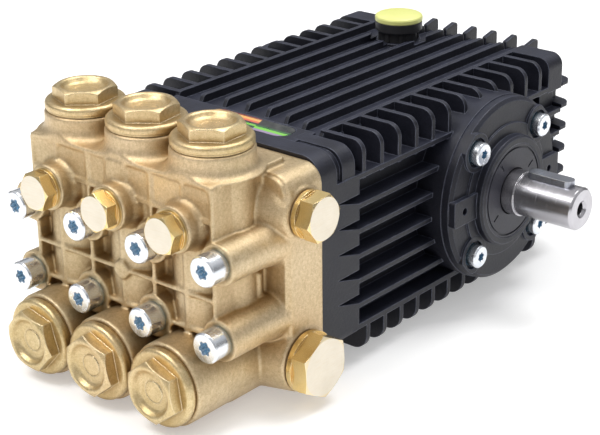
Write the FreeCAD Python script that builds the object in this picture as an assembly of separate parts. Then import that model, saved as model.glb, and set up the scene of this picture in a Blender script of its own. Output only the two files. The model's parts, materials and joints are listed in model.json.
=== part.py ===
import FreeCAD, Part
import math
import os

V = FreeCAD.Vector
os.makedirs("parts", exist_ok=True)

# ---------------------------------------------------------------------------
# Triplex plunger pump with a brass manifold head and a finned crankcase.
# Working frame (mm): X along the crankshaft (+X is the drive end), Y from the
# head (negative) to the crankcase (positive), Z up.  Y = 0 is the joint
# between head and crankcase, Z = 0 is the shaft axis.  Everything is moved to
# the row frame (origin at the centre of the base bolts) when it is exported.
# ---------------------------------------------------------------------------
ROW_SHIFT = V(0, -100.0, 68.0)

# driving dimensions
PITCH = 44.0                  # between neighbouring plungers
XS = (-PITCH, 0.0, PITCH)
AXY = 146.0                   # crankshaft axis, y
THROW = 7.0                   # crank throw (stroke 14)
ROD_L = 90.0                  # crankpin centre to wrist pin centre
PIN_R = 16.0                  # crankpin radius
CRANK_DEG = (0.0, 120.0, 240.0)
SHAFT_R = 12.0                # drive shaft, 24 mm
SHAFT_END = 139.8
KEY_W, KEY_X0, KEY_X1, KEY_TOP = 8.0, 106.0, 134.0, 15.0
BOLT_X = (-66.0, -22.0, 22.0, 66.0)
BOLT_Z = 20.0                 # head bolts sit 20 above and below the axis
TURRET_Y, TURRET_R, TURRET_TOP = -40.2, 21.3, 70.0
LOWER_Z, LOWER_R, LOWER_FRONT = -45.0, 22.2, -78.6
GAL_Z, GAL_Y = 34.5, -14.2    # delivery gallery
SUC_Y = -15.5                 # suction gallery
HEAD_FACE = -62.5
HEAD_TOP = 58.5
CASE_X = 78.0                 # half width over the fins
CASE_TOP = 57.2
CASE_BOT = -62.0
CASE_END = 222.0
DECK = 52.6
FOOT_Z = -68.0
BASE_SX, BASE_SY = 70.0, 130.0
BASE_CY = 100.0
DRUM_R, DRUM_X = 52.6, 84.0
COVER_R, COVER_X = 52.0, 89.0
BLIND_X = 82.0                # blind side drum face
SEAL_R = 27.0
FILL_X, FILL_Y = -22.0, 196.0


# ---------------------------------------------------------------- helpers --
def box(x0, x1, y0, y1, z0, z1):
    return Part.makeBox(x1 - x0, y1 - y0, z1 - z0, V(x0, y0, z0))


def cyl(axis, a0, a1, u, v, r):
    d = a1 - a0
    if axis == "x":
        return Part.makeCylinder(r, d, V(a0, u, v), V(1, 0, 0))
    if axis == "y":
        return Part.makeCylinder(r, d, V(u, a0, v), V(0, 1, 0))
    return Part.makeCylinder(r, d, V(u, v, a0), V(0, 0, 1))


def cone(axis, a0, a1, u, v, r0, r1):
    d = a1 - a0
    if axis == "x":
        return Part.makeCone(r0, r1, d, V(a0, u, v), V(1, 0, 0))
    if axis == "y":
        return Part.makeCone(r0, r1, d, V(u, a0, v), V(0, 1, 0))
    return Part.makeCone(r0, r1, d, V(u, v, a0), V(0, 0, 1))


def ring(axis, a0, a1, u, v, ro, ri):
    return cyl(axis, a0, a1, u, v, ro).cut(cyl(axis, a0 - 1, a1 + 1, u, v, ri))


def place(axis, a, u, v):
    return V(a, u, v) if axis == "x" else V(u, a, v) if axis == "y" else V(u, v, a)


def rprism(axis, a0, a1, pts):
    """Prism of a polygon whose corners (u, v, radius) are rounded."""
    n = len(pts)
    ends, mids = [], []
    for i in range(n):
        u, v, r = pts[i]
        pu, pv, _ = pts[i - 1]
        nu, nv, _ = pts[(i + 1) % n]
        if r <= 0:
            ends.append(((u, v), (u, v)))
            mids.append(None)
            continue
        a = (pu - u, pv - v)
        b = (nu - u, nv - v)
        la, lb = math.hypot(*a), math.hypot(*b)
        a = (a[0] / la, a[1] / la)
        b = (b[0] / lb, b[1] / lb)
        half = math.acos(max(-1, min(1, a[0] * b[0] + a[1] * b[1]))) / 2
        t = r / math.tan(half)
        c = (a[0] + b[0], a[1] + b[1])
        lc = math.hypot(*c)
        c = (c[0] / lc, c[1] / lc)
        dc = r / math.sin(half)
        ends.append(((u + a[0] * t, v + a[1] * t), (u + b[0] * t, v + b[1] * t)))
        mids.append((u + c[0] * (dc - r), v + c[1] * (dc - r)))
    edges = []
    for i in range(n):
        s, e = ends[i]
        if mids[i] is not None:
            edges.append(Part.Arc(place(axis, a0, *s), place(axis, a0, *mids[i]),
                                  place(axis, a0, *e)).toShape())
        nx = ends[(i + 1) % n][0]
        p, q = place(axis, a0, *e), place(axis, a0, *nx)
        if p.distanceToPoint(q) > 1e-6:
            edges.append(Part.makeLine(p, q))
    face = Part.Face(Part.Wire(edges))
    d = a1 - a0
    return face.extrude(place(axis, d, 0, 0))


def rrect(axis, a0, a1, u0, u1, v0, v1, r):
    return rprism(axis, a0, a1, [(u0, v0, r), (u1, v0, r), (u1, v1, r), (u0, v1, r)])


def hexa(axis, a0, a1, u, v, af, deg=0.0):
    r = af / math.sqrt(3)
    pts = []
    for k in range(6):
        t = math.radians(60 * k + deg)
        pts.append((u + r * math.cos(t), v + r * math.sin(t), 0))
    return rprism(axis, a0, a1, pts)


def fuse(shapes):
    s = shapes[0].fuse(shapes[1:]) if len(shapes) > 1 else shapes[0]
    r = s.copy().removeSplitter()
    return r if r.isValid() else s


def cut(a, tools):
    return a.cut(tools) if tools else a


def rev(pts, origin, direction):
    """Turned solid: pts are (radius, distance along the axis) pairs."""
    poly = [V(r, 0, h) for r, h in pts]
    poly.append(poly[0])
    s = Part.Face(Part.makePolygon(poly)).revolve(V(0, 0, 0), V(0, 0, 1), 360)
    s = Part.Solid(s) if s.ShapeType != "Solid" else s
    rot = FreeCAD.Rotation(V(0, 0, 1), direction)
    s.Placement = FreeCAD.Placement(origin, rot)
    return s


def arcpts(cr, ch, r, a0, a1, n=6):
    return [(cr + r * math.cos(math.radians(a0 + (a1 - a0) * k / n)),
             ch + r * math.sin(math.radians(a0 + (a1 - a0) * k / n))) for k in range(n + 1)]


def lobes(axis, a0, a1, u, v, r, deg=0.0):
    """Six lobed drive socket."""
    core = cyl(axis, a0, a1, u, v, r * 0.80)
    out = [core]
    for k in range(6):
        t = math.radians(60 * k + deg)
        out.append(cyl(axis, a0, a1, u + 0.72 * r * math.cos(t), v + 0.72 * r * math.sin(t), r * 0.30))
    return fuse(out)


NODES = {}


def put(name, *solids):
    out = []
    for s in solids:
        out += s.Solids
    comp = Part.makeCompound(out) if len(out) > 1 else out[0]
    NODES[name] = comp


# ------------------------------------------------------------ crankcase -----
def crankcase():
    add = []
    # core with a deck on top; the front end is a solid block
    add.append(box(-67, 67, 0, CASE_END, -44, 40))
    add.append(box(-53, 53, 0, CASE_END, 38, DECK))
    add.append(box(-49, 49, 0, 31, DECK - 1, CASE_TOP - 1.0))
    for s in (1, -1):
        # front end: two rounded bands with a groove between
        for y0, y1, xm, zt, r in ((0, 12.5, 78, 57.2, 12), (12.5, 17.5, 75.6, 55.2, 10),
                                  (17.5, 27.5, 77.4, 56.4, 10), (27.5, 30.5, 73.5, 53.5, 8)):
            add.append(rprism("y", y0, y1, [(s * 45, -20, 0), (s * xm, -20, 0), (s * xm, zt, r), (s * 45, zt, 0)]))
        # lower front end
        add.append(rprism("y", 0, 30.5, [(s * 40, 10, 0), (s * 78, 10, 0), (s * 78, -50, 6), (s * 40, -50, 0)]))
        add.append(box(min(s * 40, s * 78), max(s * 40, s * 78), 9, 30.5, -20, 38.5))
    add.append(box(-50, 50, 0, 30.5, -50, -20))
    add.append(box(-53, 53, 0, 12.5, DECK - 3, CASE_TOP))
    # longitudinal ribs on the deck
    for k in range(8):
        x = -51 + k * 14.571
        y0 = 31.0 if k in (0, 7) else 31.0 + 9.0 * math.sin(math.pi * k / 7.0)
        add.append(rprism("x", x - 1.35, x + 1.35, [(y0, DECK - 1, 0), (y0 + 3.5, CASE_TOP, 2.5),
                                                    (220.5, CASE_TOP, 1.5), (221.5, DECK - 1, 0)]))
    # cross fins at the top corners, the ledge under them, the side fins
    for s in (1, -1):
        for k in range(12):
            y = 35.0 + 14.9 * k
            add.append(rprism("y", y - 1.4, y + 1.4,
                              [(s * 50, 37, 0), (s * 77.5, 37, 0), (s * 77.5, CASE_TOP, 7), (s * 50, CASE_TOP, 0)]))
        add.append(rprism("y", 207, 221.5,
                          [(s * 50, 37, 0), (s * 78, 37, 0), (s * 78, 57.6, 7), (s * 50, 57.6, 0)]))
        add.append(box(min(s * 50, s * CASE_X), max(s * 50, s * CASE_X), 7.5, CASE_END - 0.5, 37.8, 40.5))
        for zf in (23.2, 9.2, -4.8, -18.8, -32.8):
            add.append(box(min(s * 60, s * CASE_X), max(s * 60, s * CASE_X), 26, CASE_END, zf - 1.3, zf + 1.3))
        add.append(box(min(s * 60, s * CASE_X), max(s * 60, s * CASE_X), 26, CASE_END, -46.5, -43.5))
        # bearing drum
        if s > 0:
            add.append(cyl("x", 60, DRUM_X, AXY, 0, DRUM_R))
        else:
            add.append(cyl("x", -BLIND_X, -60, AXY, 0, DRUM_R))
        # rear side band
        add.append(box(min(s * 60, s * 72), max(s * 60, s * 72), 208, CASE_END, -44, 40))
    # bottom fins
    for k in range(12):
        y = 38.5 + 14.6 * k
        add.append(rprism("y", y - 1.5, y + 1.5,
                          [(-CASE_X, -44, 0), (CASE_X, -44, 0), (CASE_X, CASE_BOT, 9), (-CASE_X, CASE_BOT, 9)]))
    add.append(box(-70, 70, 210, CASE_END, -50, -40))
    # two cast rails carry the pump
    for s in (1, -1):
        add.append(rprism("y", 22, 206, [(s * 27, -44, 0), (s * 43, -44, 0), (s * 43, FOOT_Z, 1.5), (s * 27, FOOT_Z, 1.5)]))
    # filler neck
    add.append(cyl("z", 44, 54.5, FILL_X, FILL_Y, 13.5))
    body = fuse(add)

    sub = []
    # crank chamber, open at the rear
    sub.append(box(-62, 62, 88, 208, -38, 36))
    sub.append(rrect("y", 206, CASE_END + 1, -56, 56, -34, 34, 6))
    for s in (1, -1):
        a, b = (60, DRUM_X + 1) if s > 0 else (-BLIND_X - 1, -60)
        sub.append(cyl("x", a, b, AXY, 0, 36.05))
        # tapered pockets where the side fins start
        for zf in (23.2, 9.2, -4.8, -18.8, -32.8):
            tri = rprism("x", min(s * 60, s * 82), max(s * 60, s * 82),
                         [(13.0, zf + 6.2, 0), (30.6, zf + 1.3, 0), (30.6, zf + 6.6, 0)])
            wed = rprism("z", -60, 60, [(s * 78.5, 11.0, 0), (s * 90, 11.0, 0), (s * 90, 31.0, 0), (s * 69, 31.0, 0)])
            sub.append(tri.common(wed))
    for x in XS:
        sub.append(cyl("y", 20, 90, x, 0, 18.5))          # crosshead guides
        sub.append(cyl("y", 10.9, 21, x, 0, 15.05))       # crosshead seal pockets
        sub.append(cyl("y", -1, 11, x, 0, 16.0))          # drain space behind the packings
    for x in BOLT_X:
        for s in (1, -1):
            sub.append(cyl("y", -1, 22, x, s * BOLT_Z, 5.05))
    # cover screws, both ends
    for s in (1, -1):
        for dy in (30, -30):
            for dz in (30, -30):
                a, b = (68, DRUM_X + 1) if s > 0 else (-BLIND_X - 1, -68)
                sub.append(cyl("x", a, b, AXY + dy, dz, 4.05))
    # rear cover screws
    for x, z in REAR_SCREWS:
        sub.append(cyl("y", 208, CASE_END + 1, x, z, 3.05))
    # base bolts
    for sx in (1, -1):
        for sy in (1, -1):
            sub.append(cyl("z", FOOT_Z - 1, FOOT_Z + 18, sx * BASE_SX / 2, BASE_CY + sy * BASE_SY / 2, 4.25))
    # filler hole, ribs cleared around the cap, label recess
    sub.append(ring("z", 54.5, 60, FILL_X, FILL_Y, 17.0, 13.5))
    sub.append(cyl("z", 54.5, 62, FILL_X, FILL_Y, 17.0))
    sub.append(cyl("z", 40, 56, FILL_X, FILL_Y, 8.95))
    sub.append(rrect("z", CASE_TOP - 1.6, CASE_TOP + 1, -18, 41, 14.2, 30, 7.5))
    return cut(body, sub)


REAR_SCREWS = [(-63, -36), (63, -36), (-63, 34), (63, 34), (-63, -1), (63, -1),
               (-29, 45), (29, 45), (-29, -41), (29, -41)]
put("crankcase", crankcase())
put("label", rrect("z", CASE_TOP - 1.55, CASE_TOP - 1.05, -17.5, 40.5, 14.7, 29.5, 7.2))


# ------------------------------------------------------------ rear cover ----
def rear_cover():
    add = [rrect("y", 223, 229, -70, 70, -49, 52, 8)]
    for k in range(8):
        x = -51 + k * 14.571
        add.append(rprism("x", x - 1.25, x + 1.25, [(223.2, -44, 0), (223.2, 56.8, 1.2), (235.2, 59.5, 2.6), (235.2, -44, 6)]))
    for s in (1, -1):
        for zf in (38.6, 24.8, 11.0, -2.8, -16.6, -30.4):
            fin = rprism("z", zf - 3.0, zf + 3.0, [(s * 60, 223, 0), (s * CASE_X, 223, 0), (s * CASE_X, 232.2, 4.5), (s * 60, 232.2, 0)])
            tap = rprism("y", 222, 234, [(s * 50, zf - 3.0, 0), (s * 64, zf - 3.0, 0), (s * 78.2, zf - 1.25, 1.2),
                                         (s * 78.2, zf + 1.25, 1.2), (s * 64, zf + 3.0, 0), (s * 50, zf + 3.0, 0)])
            add.append(fin.common(tap))
    add.append(cyl("y", 224, 235.6, 0, 6, 15.5))
    add.append(cyl("y", 224, 234, 0, -30, 10.5))
    body = fuse(add)
    sub = [cyl("y", 228.6, 240, 0, 6, 12.05), cyl("y", 222, 240, 0, 6, 9.0),
           cyl("y", 222, 240, 0, -30, 6.05), cyl("y", 234.0, 240, 0, -30, 10.4)]
    for x, z in REAR_SCREWS:
        sub.append(cyl("y", 222, 230, x, z, 3.3))
        sub.append(cyl("y", 229, 240, x, z, 6.2))
    return cut(body, sub)


put("rear_cover", rear_cover())
gas = rrect("y", 222.05, 222.95, -69, 69, -48, 50, 8).cut(rrect("y", 221, 224, -56, 56, -34, 34, 6))
put("rear_cover_gasket", cut(gas, [cyl("y", 221, 224, x, z, 3.4) for x, z in REAR_SCREWS]))
rs = []
for x, z in REAR_SCREWS:
    h = fuse([cyl("y", 229.05, 235.0, x, z, 5.0), cyl("y", 209, 229.1, x, z, 3.0)])
    rs.append(h.cut(hexa("y", 231.5, 236, x, z, 5.0)))
put("rear_cover_screws", *rs)
put("oil_sight_glass", rev([(0, 0), (11.9, 0), (11.9, 3.2), (10.2, 4.6)] + arcpts(0, -20.5, 26.4, 74, 90, 5)[1:] ,
                           V(0, 228.7, 6), V(0, 1, 0)))
dp = fuse([cyl("y", 226, 234.1, 0, -30, 6.0), cyl("y", 234.05, 235.6, 0, -30, 9.8), hexa("y", 235.5, 241.0, 0, -30, 15.0)])
put("oil_drain_plug", dp.cut(cyl("y", 238.5, 242, 0, -30, 4.0)))


# --------------------------------------------------------- bearing covers ---
def drive_cover():
    c = [cyl("x", DRUM_X, COVER_X - 0.8, AXY, 0, COVER_R), cone("x", COVER_X - 0.8, COVER_X + 1.0, AXY, 0, COVER_R, COVER_R - 2.0),
         cyl("x", 80.2, DRUM_X + 1, AXY, 0, 35.95),
         cyl("x", COVER_X, 95.0, AXY, 0, 31.5), cone("x", 95.0, 96.2, AXY, 0, 31.5, 30.3)]
    c.append(cyl("x", COVER_X, COVER_X + 2.2, AXY, 0, 38.0))
    for dy in (30, -30):
        for dz in (30, -30):
            c.append(cyl("x", COVER_X - 1, COVER_X + 2.4, AXY + dy, dz, 11.0))
    for s in (1, -1):
        c.append(rprism("x", COVER_X - 1, 92.6, [(AXY + s * 28, -7.5, 0), (AXY + s * 51.5, -7.5, 1.5),
                                                 (AXY + s * 51.5, 7.5, 1.5), (AXY + s * 28, 7.5, 0)]))
    b = fuse(c)
    # keep everything inside the round cover
    b = b.common(cyl("x", 70, 120, AXY, 0, COVER_R))
    sub = [cyl("x", 90.0, 120, AXY, 0, SEAL_R + 0.05), cyl("x", 70, 95, AXY, 0, 16.3), cyl("x", 70, 86, AXY, 0, 18.4)]
    for dy in (30, -30):
        for dz in (30, -30):
            sub.append(cyl("x", 80, 100, AXY + dy, dz, 4.3))
            sub.append(cyl("x", COVER_X, 100, AXY + dy, dz, 8.2))
    for s in (1, -1):
        sub.append(cyl("x", 87.0, 100, AXY + s * 42, 0, 2.1))
    return cut(b, sub)


def blind_cover():
    X0 = -BLIND_X - 3.4
    c = [cyl("x", X0, -BLIND_X, AXY, 0, 50.0), cone("x", X0 - 0.8, X0, AXY, 0, 49.2, 50.0),
         cyl("x", -BLIND_X - 1, -80.2, AXY, 0, 35.95),
         cone("x", X0 - 3.0, X0 - 0.5, AXY, 0, 28.0, 31.0)]
    for k in (0, 3):
        a = rprism("x", X0 - 2.6, X0 + 0.5, [(-1.5, 0, 0), (1.5, 0, 0), (1.5, 46, 0), (-1.5, 46, 0)])
        a.rotate(V(0, 0, 0), V(1, 0, 0), 60.0 * k + 90)
        a.translate(V(0, AXY, 0))
        c.append(a)
    for dy in (30, -30):
        for dz in (30, -30):
            c.append(cyl("x", X0 - 1.8, X0 + 1, AXY + dy, dz, 11.0))
    b = fuse(c).common(cyl("x", -120, -70, AXY, 0, 50.0))
    sub = [cyl("x", -81.2, -75, AXY, 0, 19.0)]
    for dy in (30, -30):
        for dz in (30, -30):
            sub.append(cyl("x", -100, -80, AXY + dy, dz, 4.3))
            sub.append(cyl("x", -100, X0, AXY + dy, dz, 8.2))
    return cut(b, sub)


put("drive_side_bearing_cover", drive_cover())
put("blind_side_bearing_cover", blind_cover())
cs = []
for s in (1, -1):
    f0 = COVER_X if s > 0 else BLIND_X + 3.4
    for dy in (30, -30):
        for dz in (30, -30):
            a, b = (f0 + 0.05, f0 + 6.2) if s > 0 else (-f0 - 6.2, -f0 - 0.05)
            parts = [cyl("x", a, b, AXY + dy, dz, 6.5)]
            if s > 0:
                parts += [cone("x", b, b + 0.8, AXY + dy, dz, 6.5, 5.7), cyl("x", 69, f0 + 0.1, AXY + dy, dz, 4.0)]
                soc = lobes("x", b - 2.8, b + 2, AXY + dy, dz, 2.7, 15)
            else:
                parts += [cone("x", a - 0.8, a, AXY + dy, dz, 5.7, 6.5), cyl("x", -f0 - 0.1, -69, AXY + dy, dz, 4.0)]
                soc = lobes("x", a - 2, a + 2.8, AXY + dy, dz, 2.7, 15)
            cs.append(fuse(parts).cut(soc))
put("bearing_cover_screws", *cs)
# running seal with moulded ticks on its face
seal = fuse([ring("x", 90.1, 92.6, AXY, 0, 27.0, 12.85), ring("x", 92.5, 96.0, AXY, 0, 27.0, 13.4)])
seal = seal.cut(ring("x", 95.1, 97, AXY, 0, 25.8, 24.6))
tk = []
for k in range(4):
    t = math.radians(35 + 90 * k)
    p = box(-2, 2, 17.5, 22.5, -0.6, 0.6)
    p.rotate(V(0, 0, 0), V(1, 0, 0), math.degrees(t))
    p.translate(V(97.2, AXY, 0))
    tk.append(p)
put("shaft_seal", cut(seal, tk))

# ------------------------------------------------------------- bearings -----
orr, irr, rol = [], [], []
for s in (1, -1):
    a, b = (63.0, 80.0) if s > 0 else (-80.0, -63.0)
    orr.append(ring("x", a, b, AXY, 0, 36.0, 30.0))
    irr.append(ring("x", a, b, AXY, 0, 23.0, 17.55))
    for k in range(16):
        t = 2 * math.pi * k / 16
        rol.append(cyl("x", a + 2.5, b - 2.5, AXY + 26.5 * math.cos(t), 26.5 * math.sin(t), 3.4))
put("bearing_outer_rings", *orr)
put("bearing_inner_rings", *irr)
put("bearing_rollers", *rol)


# ----------------------------------------------------------- crankshaft -----
def crank():
    add = [cyl("x", -80, -54, AXY, 0, 17.5), cyl("x", 54, 82.5, AXY, 0, 17.5),
           cone("x", 82.5, 84.5, AXY, 0, 17.5, 15.5),
           cyl("x", 84.5, 89.8, AXY, 0, 15.5), cyl("x", 89.8, 103.5, AXY, 0, 12.8),
           cyl("x", 103.5, SHAFT_END - 1.2, AXY, 0, SHAFT_R),
           cone("x", SHAFT_END - 1.2, SHAFT_END, AXY, 0, SHAFT_R, SHAFT_R - 1.2)]
    for a, b in ((-62.8, -54.2), (-33.8, -10.2), (10.2, 33.8), (54.2, 62.8)):
        add.append(cyl("x", a, b, AXY, 0, 24.5))
    for x, d in zip(XS, CRANK_DEG):
        t = math.radians(d)
        add.append(cyl("x", x - 10.3, x + 10.3, AXY + THROW * math.cos(t), THROW * math.sin(t), PIN_R))
    b = fuse(add)
    sub = [cyl("x", SHAFT_END - 20, SHAFT_END + 1, AXY, 0, 3.4),
           cone("x", SHAFT_END - 1.6, SHAFT_END + 0.01, AXY, 0, 3.4, 5.0),
           rprism("z", KEY_TOP - 7.0, 20, [(KEY_X0 - 0.03, AXY - KEY_W / 2 - 0.02, 3.9), (KEY_X1 + 0.03, AXY - KEY_W / 2 - 0.02, 3.9),
                                           (KEY_X1 + 0.03, AXY + KEY_W / 2 + 0.02, 3.9), (KEY_X0 - 0.03, AXY + KEY_W / 2 + 0.02, 3.9)])]
    return cut(b, sub)


put("crankshaft", crank())
key = rprism("z", KEY_TOP - 6.98, KEY_TOP, [(KEY_X0, AXY - KEY_W / 2, 3.9), (KEY_X1, AXY - KEY_W / 2, 3.9),
                                            (KEY_X1, AXY + KEY_W / 2, 3.9), (KEY_X0, AXY + KEY_W / 2, 3.9)])
put("shaft_key", key)

# ----------------------------------- rods, crossheads and plungers (x3) -----
for i, (x, d) in enumerate(zip(XS, CRANK_DEG), 1):
    t = math.radians(d)
    cy, cz = AXY + THROW * math.cos(t), THROW * math.sin(t)
    wy = cy - ROD_L
    hw = 9.8
    full = fuse([cyl("x", x - hw, x + hw, cy, cz, 22.5), box(x - 6.5, x + 6.5, cy - 8, cy + 8, cz - 26.5, cz + 26.5)])
    bore = cyl("x", x - 20, x + 20, cy, cz, PIN_R + 0.05)
    front = full.cut(box(x - 20, x + 20, cy - 0.0, cy + 60, cz - 40, cz + 40))
    back = full.cut(box(x - 20, x + 20, cy - 60, cy + 0.05, cz - 40, cz + 40))
    shank = rprism("x", x - 4.0, x + 4.0, [(cy - 20, cz - 10, 0), (cy - 20, cz + 10, 0), (cy - 34, cz + 5, 8), (wy, cz + 4.6, 0),
                                           (wy, cz - 4.6, 0), (cy - 34, cz - 5, 8)])
    eye = cyl("x", x - 5, x + 5, wy, cz, 7.0)
    rod = fuse([front, shank, eye]).cut([bore, cyl("x", x - 20, x + 20, wy, cz, 3.55),
                                         cyl("y", cy - 20, cy + 20, x, cz + 22.3 + 0.6, 2.55), cyl("y", cy - 20, cy + 20, x, cz - 22.9, 2.55)])
    cap = back.cut([cyl("y", cy + 8.02, cy + 30, x, cz + 22.9, 4.3), cyl("y", cy + 8.02, cy + 30, x, cz - 22.9, 4.3), bore, cyl("y", cy - 20, cy + 20, x, cz + 22.9, 2.55), cyl("y", cy - 20, cy + 20, x, cz - 22.9, 2.55)])
    put("con_rod_%d" % i, rod)
    rb = []
    for s in (1, -1):
        rb.append(fuse([cyl("y", cy - 7.5, cy + 8.1, x, cz + s * 22.9, 2.5), hexa("y", cy + 8.05, cy + 12.0, x, cz + s * 22.9, 6.6)]))
    put("con_rod_cap_and_bolts_%d" % i, cap, *rb)
    put("wrist_pin_%d" % i, cyl("x", x - 6.2, x + 6.2, wy, cz, 3.5))
    # crosshead with its stem; the ceramic plunger is clamped on the stem
    my = AXY - ROD_L + THROW * math.cos(t)      # wrist position of this crank angle
    f = my - 28.0
    ch = fuse([cyl("y", f, f + 50, x, 0, 18.42), cyl("y", f - 26.0, f + 1, x, 0, 9.0), cyl("y", f - 64.0, f - 25.9, x, 0, 5.0)])
    ch = ch.cut([cyl("y", f + 6.0, f + 60, x, 0, 15.2)])
    put("crosshead_%d" % i, ch)
    pl = ring("y", f - 67.0, f - 26.05, x, 0, 11.0, 5.05)
    put("plunger_%d" % i, pl)
    pn = fuse([cyl("y", f - 69.5, f - 67.05, x, 0, 9.0), cyl("y", f - 67.1, f - 64.1, x, 0, 5.0)])
    put("plunger_nut_%d" % i, pn.cut(hexa("y", f - 70, f - 67.5, x, 0, 6.0)))
put("crosshead_oil_seals", *[ring("y", 11.0, 19.8, x, 0, 15.0, 9.05) for x in XS])


# --------------------------------------------------------- manifold head ----
SEAT = -62.9                  # bolt seats on the head


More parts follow.
